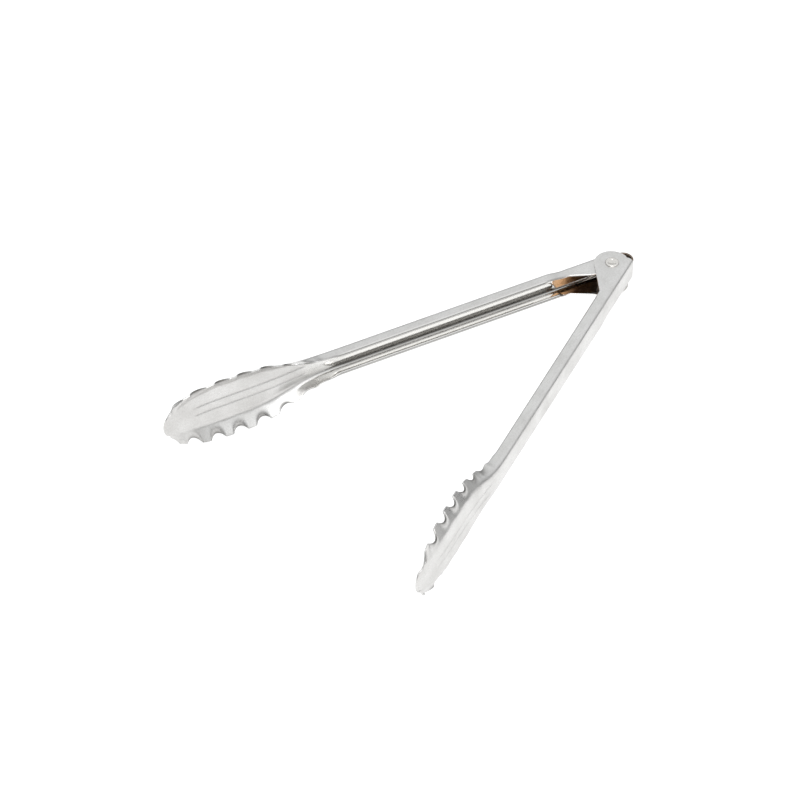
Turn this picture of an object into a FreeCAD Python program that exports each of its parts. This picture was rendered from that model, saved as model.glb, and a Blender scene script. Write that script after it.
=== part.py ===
import FreeCAD, Part
import math
import os

# Spring loaded kitchen tongs: two stamped sheet arms on one rivet, held open
# by a bent leaf spring.  Millimetres, +Z up.
#
# Row frame: Z is the rivet's axis, with z = 0 on the flat lower face of the
# rivet's head.  +X points out of the hinge end, the gripping heads lie towards
# -X, and the two arms open symmetrically about the X axis.
#
# Arm frame used below: u runs from the rivet towards the gripping head, v runs
# from the back web towards the other arm (the rivet is at u = v = 0), and w is
# the height above the middle plane of the tongs.

V = FreeCAD.Vector

# ---- driving dimensions ---------------------------------------------------
OPEN_ANGLE = 36.7         # degrees between the two arms at rest
SHEET = 1.0               # thickness of the stamped sheet
WEB_V = -10.3             # outside plane of the back web
HALF_H = 8.25             # half height of the channel
BEND_R = 3.0              # outside bend radius of the channel
EDGE_V = -2.8             # free edge of the flanges
HEM_R = 1.2               # rolled edge along the flanges
WEB_END_U = -8.3          # cut end of the web behind the rivet
NECK_U = 180.0            # where the channel starts to flare into the head
TIP_U = 295.5             # tip of the head, middle of the sheet

EAR_R_OUTER = 10.35       # rounded ear that lies outside the other arm
EAR_END_OUTER = 25.5      # where that ear runs out into the flange
EAR_R_INNER = 7.9         # rounded ear that nests inside the other arm
EAR_END_INNER = 26.5
EAR_HALF_H_INNER = 7.0    # height of the nesting ear above the middle plane
JOGGLE = (29.0, 39.0)     # it steps out to full height over this length

RIVET_R = 3.0
RIVET_RUN = 0.06          # running clearance of the inner arm on the rivet
RIVET_FLAT_R = 4.6
RIVET_FLAT_T = 1.0
RIVET_SLACK = 0.03        # under the flat head, so that the arm below it turns freely
RIVET_CAP_R = 4.1
RIVET_CAP_T = 0.8
SLEEVE_R = 4.3
SLEEVE_HALF = 5.9

LEAF_T = 1.2
LEAF_HALF_H = 4.6
LEAF_GAP = 0.15           # leaf to web
LEAF_BEND_X = 10.3        # centre of the leaf's bend, beyond the rivet
LEAF_LEG_U = 33.0         # end of each leg

Z_MID = HALF_H + RIVET_FLAT_T

HALF = math.radians(OPEN_ANGLE / 2.0)
C, S = math.cos(HALF), math.sin(HALF)


# ---- frames ---------------------------------------------------------------
def placed(shape, side):
    """Arm frame to row frame; the arms are symmetric about their mid plane."""
    if side == "outer":
        m = FreeCAD.Matrix(-C, -S, 0, 0,
                           -S, C, 0, 0,
                           0, 0, -1, Z_MID,
                           0, 0, 0, 1)
    else:
        m = FreeCAD.Matrix(-C, -S, 0, 0,
                           S, -C, 0, 0,
                           0, 0, 1, Z_MID,
                           0, 0, 0, 1)
    out = shape.copy()
    out.transformShape(m, False, False)
    return out


# ---- small helpers --------------------------------------------------------
def table(xs, ys, x):
    """Cubic through the table, with limited slopes so that it never overshoots."""
    n = len(xs)
    if x <= xs[0]:
        return ys[0]
    if x >= xs[-1]:
        return ys[-1]
    k = 0
    while x > xs[k + 1]:
        k += 1
    h = [xs[i + 1] - xs[i] for i in range(n - 1)]
    d = [(ys[i + 1] - ys[i]) / h[i] for i in range(n - 1)]

    def slope(i):
        if i == 0:
            return d[0]
        if i == n - 1:
            return d[-1]
        if d[i - 1] * d[i] <= 0:
            return 0.0
        w1 = 2 * h[i] + h[i - 1]
        w2 = h[i] + 2 * h[i - 1]
        return (w1 + w2) / (w1 / d[i - 1] + w2 / d[i])

    t = (x - xs[k]) / h[k]
    m0, m1 = slope(k) * h[k], slope(k + 1) * h[k]
    return ((2 * t ** 3 - 3 * t ** 2 + 1) * ys[k] + (t ** 3 - 2 * t ** 2 + t) * m0
            + (-2 * t ** 3 + 3 * t ** 2) * ys[k + 1] + (t ** 3 - t ** 2) * m1)


# ---- the gripping head, as a middle surface -------------------------------
# half width of the rim over the tops of the scallops
RIM_U = [180, 188, 196, 204, 212, 220, 228, 238, 250, 262, 270, 277, 283, 288.2]
RIM_W = [7.75, 8.5, 10.0, 12.6, 15.6, 18.6, 20.6, 21.8, 22.2, 21.8, 20.8, 19.2, 17.0, 13.8]
# height of the rim, over the tops of the scallops
RIM_V_U = [180, 190, 200, 210, 222, 236, 250, 262, 272, 282, 288.2]
RIM_V = [-2.8, -2.3, -1.2, -0.6, -0.45, -0.5, -0.7, -1.0, -1.6, -2.6, -3.2]
# height of the floor on the centre line
FLOOR_U = [180, 190, 200, 210, 220, 235, 258, 268, 276, 283, 289, 293, 295.5]
FLOOR_V = [WEB_V + 0.5 * SHEET, WEB_V + 0.5 * SHEET + 0.05, -9.2, -8.35, -7.7, -7.3, -7.2, -6.9, -6.3, -5.4, -4.3, -3.4, -2.8]
# half width of the floor, to the theoretical corner with the wall
CORNER_U = [180, 190, 200, 210, 220, 235, 256, 268, 278, 288.2]
CORNER_W = [7.75, 8.0, 8.8, 10.2, 11.8, 13.2, 13.4, 12.4, 10.2, 7.0]
FILLET_U = [180, 190, 205, 220, 288.2]
FILLET = [2.5, 2.9, 4.5, 6.5, 6.5]
NOTCHES = [188.0, 200.0, 214.5, 229.5, 244.5, 259.0, 274.0, 288.2]
NOTCH_AMP_U = [180, 188.0, 200.0, 214.5, 229.5, 274.0, 288.2]
NOTCH_AMP = [0.0, 0.1, 0.5, 0.8, 1.0, 1.0, 0.6]
NOTCH_HALF = 6.2          # half width of one notch along the arm
SCALLOP_W = 2.6           # how far a notch steps in from the rim
SCALLOP_V = 2.3           # how far a notch drops below the rim
TIP_DIP = 1.2             # how deep the tip dips between its middle and side lobes
FAN_U = 262.0             # sections bow forward from here to the tip

N_FLOOR, N_FILLET, N_WALL = 5, 4, 6


def lobe(u):
    """1 on the top of a scallop, 0 in a notch."""
    if u <= NOTCHES[0]:
        x = min(1.0, (NOTCHES[0] - u) / 6.0)
        return 0.5 - 0.5 * math.cos(math.pi * x)
    for k in range(len(NOTCHES) - 1):
        if u <= NOTCHES[k + 1]:
            d = min(u - NOTCHES[k], NOTCHES[k + 1] - u)
            return 0.5 - 0.5 * math.cos(math.pi * min(1.0, d / NOTCH_HALF))
    return 0.0


def head_section(us):
    """Middle-surface points of one half section, centre line to rim: (u, v, w)."""
    side_end, tip = 288.2, TIP_U
    if us <= FAN_U:
        uc = us
    else:
        uc = FAN_U + (us - FAN_U) * (tip - FAN_U) / (side_end - FAN_U)
    vf = table(FLOOR_U, FLOOR_V, uc)
    a = table(CORNER_U, CORNER_W, us)
    b = table(RIM_U, RIM_W, us)
    vr = max(table(RIM_V_U, RIM_V, us), vf)
    if us > FAN_U:
        vr = table(RIM_V_U, RIM_V, us)
    r = table(FILLET_U, FILLET, us)
    wall = math.hypot(b - a, vr - vf)
    dz, dv = (b - a) / wall, (vr - vf) / wall
    theta = math.atan2(dv, dz)
    run = min(r * math.tan(abs(theta) / 2.0), 0.45 * a, 0.6 * wall)
    pts = []
    for i in range(N_FLOOR):
        pts.append(((a - run) * i / float(N_FLOOR), vf, 0.0))
    for i in range(N_FILLET + 1):
        t = i / float(N_FILLET)
        p0 = (a - run, vf)
        p2 = (a + dz * run, vf + dv * run)
        pts.append(((1 - t) ** 2 * p0[0] + 2 * t * (1 - t) * a + t * t * p2[0],
                    (1 - t) ** 2 * p0[1] + 2 * t * (1 - t) * vf + t * t * p2[1],
                    0.25 * t))
    for i in range(1, N_WALL + 1):
        t = i / float(N_WALL)
        pts.append((a + dz * (run + (wall - run) * t),
                    vf + dv * (run + (wall - run) * t), 0.25 + 0.75 * t))
    amp = table(NOTCH_AMP_U, NOTCH_AMP, us) * (1.0 - lobe(us))
    out = []
    for (w, v, e) in pts:
        k = e ** 1.6 * amp
        w2 = w - SCALLOP_W * k
        v2 = v - SCALLOP_V * k
        frac = w2 / (b - SCALLOP_W * amp)
        u2 = us + (uc - us) * (1.0 - frac * frac)
        if us > 276.0:
            u2 -= TIP_DIP * ((us - 276.0) / (side_end - 276.0)) ** 2 * math.exp(-((w2 - 9.3) / 2.2) ** 2)
        out.append((u2, v2, w2))
    return out


def head_grid():
    stations = []
    u = NECK_U
    while u < 288.2 - 1e-6:
        stations.append(u)
        u += 2.0 if u < 270 else 1.3
    stations[-1] = 0.5 * (stations[-2] + 288.2)
    stations.append(288.2)
    grid = []
    for us in stations:
        half = head_section(us)
        row = [V(p[0], p[1], -p[2]) for p in reversed(half[1:])]
        row += [V(*p) for p in half]
        grid.append(row)
    return grid


def offset_grid(grid, d):
    n, m = len(grid), len(grid[0])
    out = []
    for i in range(n):
        row = []
        for j in range(m):
            i0, i1 = max(i - 1, 0), min(i + 1, n - 1)
            j0, j1 = max(j - 1, 0), min(j + 1, m - 1)
            du = grid[i1][j] - grid[i0][j]
            dw = grid[i][j1] - grid[i][j0]
            if i == 0:
                du = V(1, 0, 0)
            nrm = du.cross(dw)
            nrm.normalize()
            row.append(grid[i][j] + nrm * d)
        out.append(row)
    return out


def surface(grid):
    s = Part.BSplineSurface()
    s.interpolate(grid)
    return s


def make_head():
    grid = head_grid()
    sa = surface(offset_grid(grid, SHEET / 2.0))
    sb = surface(offset_grid(grid, -SHEET / 2.0))
    faces = [sa.toShape(), sb.toShape()]
    ua0, ua1, va0, va1 = sa.bounds()
    ub0, ub1, vb0, vb1 = sb.bounds()
    pairs = [(sa.uIso(ua0), sb.uIso(ub0)), (sa.uIso(ua1), sb.uIso(ub1)),
             (sa.vIso(va0), sb.vIso(vb0)), (sa.vIso(va1), sb.vIso(vb1))]
    for p, q in pairs:
        faces.append(Part.makeRuledSurface(p.toShape(), q.toShape()))
    shell = Part.Shell(faces)
    shell.sewShape(1e-4)
    solid = Part.Solid(shell)
    if solid.Volume < 0:
        solid.reverse()
    return solid


# ---- the channel and its ears ---------------------------------------------
def channel_wire(u, half_h, edge_v):
    """U section of sheet at station u, its free edges at edge_v."""
    ro, ri = BEND_R, BEND_R - SHEET
    k = math.sqrt(0.5)
    vo, vc = WEB_V, WEB_V + BEND_R
    hc = half_h - BEND_R

    def p(v, w):
        return V(u, v, w)

    e = [Part.makeLine(p(edge_v, half_h), p(vc, half_h)),
         Part.Arc(p(vc, half_h), p(vc - ro * k, hc + ro * k), p(vo, hc)).toShape(),
         Part.makeLine(p(vo, hc), p(vo, -hc)),
         Part.Arc(p(vo, -hc), p(vc - ro * k, -hc - ro * k), p(vc, -half_h)).toShape(),
         Part.makeLine(p(vc, -half_h), p(edge_v, -half_h)),
         Part.makeLine(p(edge_v, -half_h), p(edge_v, -half_h + SHEET)),
         Part.makeLine(p(edge_v, -half_h + SHEET), p(vc, -half_h + SHEET)),
         Part.Arc(p(vc, -half_h + SHEET), p(vc - ri * k, -hc - ri * k), p(vo + SHEET, -hc)).toShape(),
         Part.makeLine(p(vo + SHEET, -hc), p(vo + SHEET, hc)),
         Part.Arc(p(vo + SHEET, hc), p(vc - ri * k, hc + ri * k), p(vc, half_h - SHEET)).toShape(),
         Part.makeLine(p(vc, half_h - SHEET), p(edge_v, half_h - SHEET)),
         Part.makeLine(p(edge_v, half_h - SHEET), p(edge_v, half_h))]
    return Part.Wire(e)


def side_profile(ear_r, ear_end):
    """Plan of the ear, flange and web, as a prism across the whole width."""
    px, pv = ear_end, EDGE_V
    dist = math.hypot(px, pv)
    ang = math.atan2(pv, px)
    tan_ang = ang + math.acos(ear_r / dist)
    tx, tv = ear_r * math.cos(tan_ang), ear_r * math.sin(tan_ang)
    v_low = -math.sqrt(max(ear_r ** 2 - WEB_END_U ** 2, 0.0))
    z0 = -20.0
    pts = [V(WEB_END_U, WEB_V - 1, z0), V(WEB_END_U, v_low, z0)]
    mid = V(ear_r * math.cos(2.4), ear_r * math.sin(2.4), z0)
    end = V(tx, tv, z0)
    edges = [Part.makeLine(pts[0], pts[1]),
             Part.Arc(pts[1], mid, end).toShape(),
             Part.makeLine(end, V(px, pv, z0)),
             Part.makeLine(V(px, pv, z0), V(NECK_U, pv, z0)),
             Part.makeLine(V(NECK_U, pv, z0), V(NECK_U, WEB_V - 1, z0)),
             Part.makeLine(V(NECK_U, WEB_V - 1, z0), pts[0])]
    return Part.Face(Part.Wire(edges)).extrude(V(0, 0, 40))


def half_of(shape, upper):
    """The part of a shape above or below the arm's middle plane."""
    box = Part.makeBox(500.0, 80.0, 40.0, V(-60.0, -40.0, 0.0 if upper else -40.0))
    return shape.common(box)


def make_arm(kind):
    """Both arms are the same stamping: one ear at full height, which lies outside
    the other arm, and one ear stepped in, which nests inside the other arm."""
    deep = 12.0
    hole_r = RIVET_R if kind == "outer" else RIVET_R + RIVET_RUN
    whole = Part.Face(channel_wire(WEB_END_U - 4, HALF_H, deep)).extrude(
        V(NECK_U - WEB_END_U + 4, 0, 0))
    low = half_of(whole, False).common(side_profile(EAR_R_OUTER, EAR_END_OUTER))
    j0, j1 = JOGGLE
    ear = Part.Face(channel_wire(WEB_END_U - 4, EAR_HALF_H_INNER, deep)).extrude(
        V(j0 - WEB_END_U + 4, 0, 0))
    bend = Part.makeLoft([channel_wire(j0, EAR_HALF_H_INNER, deep),
                          channel_wire(j1, HALF_H, deep)], True, True)
    rest = Part.Face(channel_wire(j1, HALF_H, deep)).extrude(V(NECK_U - j1, 0, 0))
    high = half_of(ear.fuse([bend, rest]), True).common(side_profile(EAR_R_INNER, EAR_END_INNER))
    body = low.fuse(high)
    body = body.cut(Part.makeCylinder(hole_r, 40, V(0, 0, -20), V(0, 0, 1)))
    # rolled edges: the flange's last stretch is turned in on itself
    hem_v = EDGE_V - HEM_R
    hem1 = NECK_U - 2.0
    parts = [make_head()]
    for sgn in (1, -1):
        hem0 = JOGGLE[1] + 1.0 if sgn > 0 else EAR_END_OUTER + 4.0
        nib = Part.makeBox(hem1 - hem0, 2.0, 4.0,
                           V(hem0, hem_v, HALF_H - 3.0 if sgn > 0 else -HALF_H - 1.0))
        body = body.cut(nib)
        parts.append(Part.makeCylinder(HEM_R, hem1 - hem0,
                                       V(hem0, hem_v, sgn * (HALF_H - HEM_R)), V(1, 0, 0)))
    body = body.fuse(parts)
    body = body.removeSplitter()
    return body


# ---- rivet, sleeve and leaf spring ----------------------------------------
def make_rivet():
    """Flat factory head below, low set head with a dished middle above."""
    top = Z_MID + HALF_H
    p = [V(0, 0, 0), V(RIVET_FLAT_R - 0.25, 0, 0), V(RIVET_FLAT_R, 0, 0.25),
         V(RIVET_FLAT_R, 0, RIVET_FLAT_T), V(RIVET_R, 0, RIVET_FLAT_T),
         V(RIVET_R, 0, top), V(RIVET_CAP_R, 0, top), V(RIVET_CAP_R - 0.1, 0, top + 0.35),
         V(RIVET_CAP_R - 0.9, 0, top + RIVET_CAP_T), V(2.3, 0, top + RIVET_CAP_T),
         V(1.3, 0, top + 0.35), V(0, 0, top + 0.25), V(0, 0, 0)]
    wire = Part.makePolygon(p)
    return Part.Face(wire).revolve(V(0, 0, 0), V(0, 0, 1), 360)


def make_sleeve():
    a = Part.makeCylinder(SLEEVE_R, 2 * SLEEVE_HALF, V(0, 0, Z_MID - SLEEVE_HALF))
    b = Part.makeCylinder(RIVET_R, 2 * SLEEVE_HALF + 2, V(0, 0, Z_MID - SLEEVE_HALF - 1))
    return a.cut(b)


def make_leaf():
    """One flat leaf, bent once behind the rivet; its legs lie on the two webs."""
    lie = -(WEB_V + SHEET) - LEAF_GAP          # distance of the leaf's back from the axis
    xc = LEAF_BEND_X
    ro = lie - S * xc
    ri = ro - LEAF_T
    z0 = Z_MID - LEAF_HALF_H

    def arm_pt(u, v, sgn):
        # sgn -1: outer arm (low Y); +1: inner arm (high Y)
        return V(-C * u - S * v, sgn * (S * u - C * v), z0)

    ut = -C * xc
    edges = []
    o = [arm_pt(LEAF_LEG_U, -lie, -1), arm_pt(ut, -lie, -1), V(xc + ro, 0, z0),
         arm_pt(ut, -lie, 1), arm_pt(LEAF_LEG_U, -lie, 1)]
    i = [arm_pt(LEAF_LEG_U, -lie + LEAF_T, -1), arm_pt(ut, -lie + LEAF_T, -1), V(xc + ri, 0, z0),
         arm_pt(ut, -lie + LEAF_T, 1), arm_pt(LEAF_LEG_U, -lie + LEAF_T, 1)]
    edges.append(Part.makeLine(o[0], o[1]))
    edges.append(Part.Arc(o[1], o[2], o[3]).toShape())
    edges.append(Part.makeLine(o[3], o[4]))
    edges.append(Part.makeLine(o[4], i[4]))
    edges.append(Part.makeLine(i[4], i[3]))
    edges.append(Part.Arc(i[3], i[2], i[1]).toShape())
    edges.append(Part.makeLine(i[1], i[0]))
    edges.append(Part.makeLine(i[0], o[0]))
    return Part.Face(Part.Wire(edges)).extrude(V(0, 0, 2 * LEAF_HALF_H))


def main():
    os.makedirs("parts", exist_ok=True)
    nodes = {
        "outer_arm": placed(make_arm("outer"), "outer"),
        "inner_arm": placed(make_arm("inner"), "inner"),
        "hinge_rivet": make_rivet(),
        "spacer_sleeve": make_sleeve(),
        "leaf_spring": make_leaf(),
    }
    for name, shape in nodes.items():
        b = shape.BoundBox
        print("%-14s solids %d faces %3d valid %s volume %.1f  x %.1f..%.1f y %.1f..%.1f z %.1f..%.1f"
              % (name, len(shape.Solids), len(shape.Faces), shape.isValid(), shape.Volume,
                 b.XMin, b.XMax, b.YMin, b.YMax, b.ZMin, b.ZMax))
        shape.exportStep("parts/%s.step" % name)


main()
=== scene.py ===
import math
import bpy
import numpy as np
from mathutils import Matrix, Vector


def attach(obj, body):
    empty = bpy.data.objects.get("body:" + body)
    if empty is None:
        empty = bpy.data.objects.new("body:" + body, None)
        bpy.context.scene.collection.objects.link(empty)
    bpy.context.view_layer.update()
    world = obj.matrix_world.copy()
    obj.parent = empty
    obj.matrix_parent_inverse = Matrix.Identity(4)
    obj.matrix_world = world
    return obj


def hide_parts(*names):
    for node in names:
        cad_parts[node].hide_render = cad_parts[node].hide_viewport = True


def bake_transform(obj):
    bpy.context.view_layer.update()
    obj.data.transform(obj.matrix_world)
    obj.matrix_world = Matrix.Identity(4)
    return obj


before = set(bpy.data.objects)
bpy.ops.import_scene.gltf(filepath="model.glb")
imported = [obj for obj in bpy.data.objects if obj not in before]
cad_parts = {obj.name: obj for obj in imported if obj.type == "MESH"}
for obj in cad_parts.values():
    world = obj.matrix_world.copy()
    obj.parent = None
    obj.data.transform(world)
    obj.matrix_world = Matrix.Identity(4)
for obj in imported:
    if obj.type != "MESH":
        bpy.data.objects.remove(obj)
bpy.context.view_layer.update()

# ---------------------------------------------------------------------------
# dimensions in millimetres, the same ones that the frame was made with
# ---------------------------------------------------------------------------
OPEN_ANGLE = 36.7
SHEET = 1.0
WEB_V = -10.3
HALF_H = 8.25
BEND_R = 3.0
EDGE_V = -2.8
WEB_END_U = -8.3
NECK_U = 180.0
TIP_U = 295.5
EAR = {"high": (10.35, 25.5), "nest": (7.9, 26.5)}   # outside ear, nesting ear
EAR_HALF_H_INNER = 7.0
JOGGLE = (29.0, 39.0)
RIVET_R = 3.0
RIVET_RUN = 0.06
RIVET_FLAT_R, RIVET_FLAT_T = 4.6, 1.0
RIVET_CAP_R, RIVET_CAP_T = 4.1, 0.8
SLEEVE_R, SLEEVE_HALF = 4.3, 5.9
LEAF_T, LEAF_HALF_H, LEAF_GAP = 1.2, 4.6, 0.15
LEAF_BEND_X, LEAF_LEG_U = 10.3, 33.0
Z_MID = HALF_H + RIVET_FLAT_T
HALF = math.radians(OPEN_ANGLE / 2.0)
C, S = math.cos(HALF), math.sin(HALF)

LIP = 0.38                # how far a sheared sheet edge stands out past its last row
HEM_R = 1.15              # outside radius of the folded hem
HEM_BACK = 2.3            # width of the strip that is folded back

RIM_U = [180, 188, 196, 204, 212, 220, 228, 238, 250, 262, 270, 277, 283, 288.2]
RIM_W = [7.75, 8.5, 10.0, 12.6, 15.6, 18.6, 20.6, 21.8, 22.2, 21.8, 20.8, 19.2, 17.0, 13.8]
RIM_V_U = [180, 190, 200, 210, 222, 236, 250, 262, 272, 282, 288.2]
RIM_V = [-2.8, -2.3, -1.2, -0.6, -0.45, -0.5, -0.7, -1.0, -1.6, -2.6, -3.2]
FLOOR_U = [180, 190, 200, 210, 220, 235, 258, 268, 276, 283, 289, 293, 295.5]
FLOOR_V = [WEB_V + 0.5 * SHEET, WEB_V + 0.5 * SHEET + 0.05, -9.2, -8.35, -7.7, -7.3, -7.2, -6.9, -6.3, -5.4, -4.3, -3.4, -2.8]
CORNER_U = [180, 190, 200, 210, 220, 235, 256, 268, 278, 288.2]
CORNER_W = [7.75, 8.0, 8.8, 10.2, 11.8, 13.2, 13.4, 12.4, 10.2, 7.0]
FILLET_U = [180, 190, 205, 220, 288.2]
FILLET = [2.5, 2.9, 4.5, 6.5, 6.5]
NOTCHES = [188.0, 200.0, 214.5, 229.5, 244.5, 259.0, 274.0, 288.2]
NOTCH_AMP_U = [180, 188.0, 200.0, 214.5, 229.5, 274.0, 288.2]
NOTCH_AMP = [0.0, 0.1, 0.5, 0.8, 1.0, 1.0, 0.6]
NOTCH_HALF = 4.9          # half width of one notch along the arm
SCALLOP_W, SCALLOP_V = 2.7, 2.5
CURL = 1.0                # how far the sheet turns outwards round a notch
TIP_DIP = 1.2
FAN_U, SIDE_END = 262.0, 288.2

GROOVE_W = 3.07           # the two pressed lines on the floor of each head
GROOVE_HALF = 0.75
GROOVE_DEEP = 0.42
GROOVE_U = (199.0, 273.0)


def table(xs, ys, x):
    n = len(xs)
    if x <= xs[0]:
        return ys[0]
    if x >= xs[-1]:
        return ys[-1]
    k = 0
    while x > xs[k + 1]:
        k += 1
    h = [xs[i + 1] - xs[i] for i in range(n - 1)]
    d = [(ys[i + 1] - ys[i]) / h[i] for i in range(n - 1)]

    def slope(i):
        if i == 0:
            return d[0]
        if i == n - 1:
            return d[-1]
        if d[i - 1] * d[i] <= 0:
            return 0.0
        w1 = 2 * h[i] + h[i - 1]
        w2 = h[i] + 2 * h[i - 1]
        return (w1 + w2) / (w1 / d[i - 1] + w2 / d[i])

    t = (x - xs[k]) / h[k]
    m0, m1 = slope(k) * h[k], slope(k + 1) * h[k]
    return ((2 * t ** 3 - 3 * t ** 2 + 1) * ys[k] + (t ** 3 - 2 * t ** 2 + t) * m0
            + (-2 * t ** 3 + 3 * t ** 2) * ys[k + 1] + (t ** 3 - t ** 2) * m1)


def step(a, b, x):
    t = min(1.0, max(0.0, (x - a) / (b - a)))
    return t * t * (3 - 2 * t)


def lobe(u):
    """1 on the top of a scallop, 0 in a notch."""
    if u <= NOTCHES[0]:
        x = min(1.0, (NOTCHES[0] - u) / 6.0)
        return 0.5 - 0.5 * math.cos(math.pi * x)
    for k in range(len(NOTCHES) - 1):
        if u <= NOTCHES[k + 1]:
            d = min(1.0, min(u - NOTCHES[k], NOTCHES[k + 1] - u) / NOTCH_HALF)
            return 1.0 - (1.0 - d * d) ** 0.8
    return 0.0


# ---------------------------------------------------------------------------
# the middle surface of an arm: rows of points from edge to edge
# ---------------------------------------------------------------------------
# fractions over the floor, close together where the pressed lines run
def floor_fractions(flat):
    base = np.linspace(0, 1, 9)[:-1]
    if flat <= GROOVE_W + 1.2:
        return list(np.linspace(0, 1, 21)[:-1])
    g = GROOVE_W / flat
    hw = GROOVE_HALF / flat
    inner = list(np.linspace(0, g - 1.3 * hw, 5)[:-1])
    mid = list(np.linspace(g - 1.3 * hw, g + 1.3 * hw, 10)[:-1])
    outer = list(np.linspace(g + 1.3 * hw, 1, 8)[:-1])
    return inner + mid + outer


N_FLOOR = 4 + 9 + 7
N_FILLET = 8
N_WALL = 12


def half_section(a, b, vf, vr, r, short):
    """(w, v, rise) from the centre line to the rim, the wall cut short by `short`."""
    wall = math.hypot(b - a, vr - vf)
    dz, dv = (b - a) / wall, (vr - vf) / wall
    theta = math.atan2(dv, dz)
    run = min(r * math.tan(abs(theta) / 2.0), 0.45 * a, 0.6 * wall)
    wt = math.cos(theta / 2.0)
    pts = []
    fr = floor_fractions(a - run)
    for f in fr:
        pts.append(((a - run) * f, vf, 0.0))
    for i in range(N_FILLET + 1):
        t = i / float(N_FILLET)
        b0, b1, b2 = (1 - t) ** 2, 2 * t * (1 - t) * wt, t * t
        s = b0 + b1 + b2
        pts.append(((b0 * (a - run) + b1 * a + b2 * (a + dz * run)) / s,
                    (b0 * vf + b1 * vf + b2 * (vf + dv * run)) / s, 0.25 * t))
    full = wall
    wall = wall - short
    for i in range(1, N_WALL + 1):
        t = i / float(N_WALL)
        d = run + (wall - run) * t
        pts.append((a + dz * d, vf + dv * d, 0.25 + 0.75 * (d - run) / (full - run)))
    return pts


def ear_outline(kind):
    """Ear edge in (u, v), from the web's cut end round to where it meets the flange."""
    ear_r, ear_end = EAR[kind]
    r = ear_r - LIP
    u0 = WEB_END_U + LIP
    px, pv = ear_end, EDGE_V - LIP
    dist = math.hypot(px, pv)
    ang = math.atan2(pv, px)
    tan_ang = ang + math.acos(r / dist)
    start_v = -math.sqrt(max(r * r - u0 * u0, 0.0))
    if start_v == 0.0:
        start = math.pi
        pts = [(u0, -0.6), (u0 + 0.03, 0.4)]
    else:
        start = math.atan2(start_v, u0) % (2 * math.pi)
        pts = [(u0, start_v)]
    for i in range(1, 61):
        th = start + (tan_ang - start) * i / 60.0
        pts.append((r * math.cos(th), r * math.sin(th)))
    # the straight edge leaves the round tangentially and runs into the flange softly
    tx, tv = pts[-1]
    for i in range(1, 31):
        t = i / 30.0
        pts.append((tx + (px - tx) * t, tv + (pv - tv) * t))
    arr = np.array(pts)
    # cumulative length along the outline
    seg = np.hypot(np.diff(arr[:, 0]), np.diff(arr[:, 1]))
    return arr, np.concatenate([[0], np.cumsum(seg)])


def hem_weight(kind, u):
    start = 28.5 if kind == "high" else 39.5
    return step(start, start + 4.0, u) * (1.0 - step(176.0, 187.0, u))


def half_height(kind, u):
    if kind == "high":
        return HALF_H
    return EAR_HALF_H_INNER + (HALF_H - EAR_HALF_H_INNER) * step(JOGGLE[0], JOGGLE[1], u)


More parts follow.
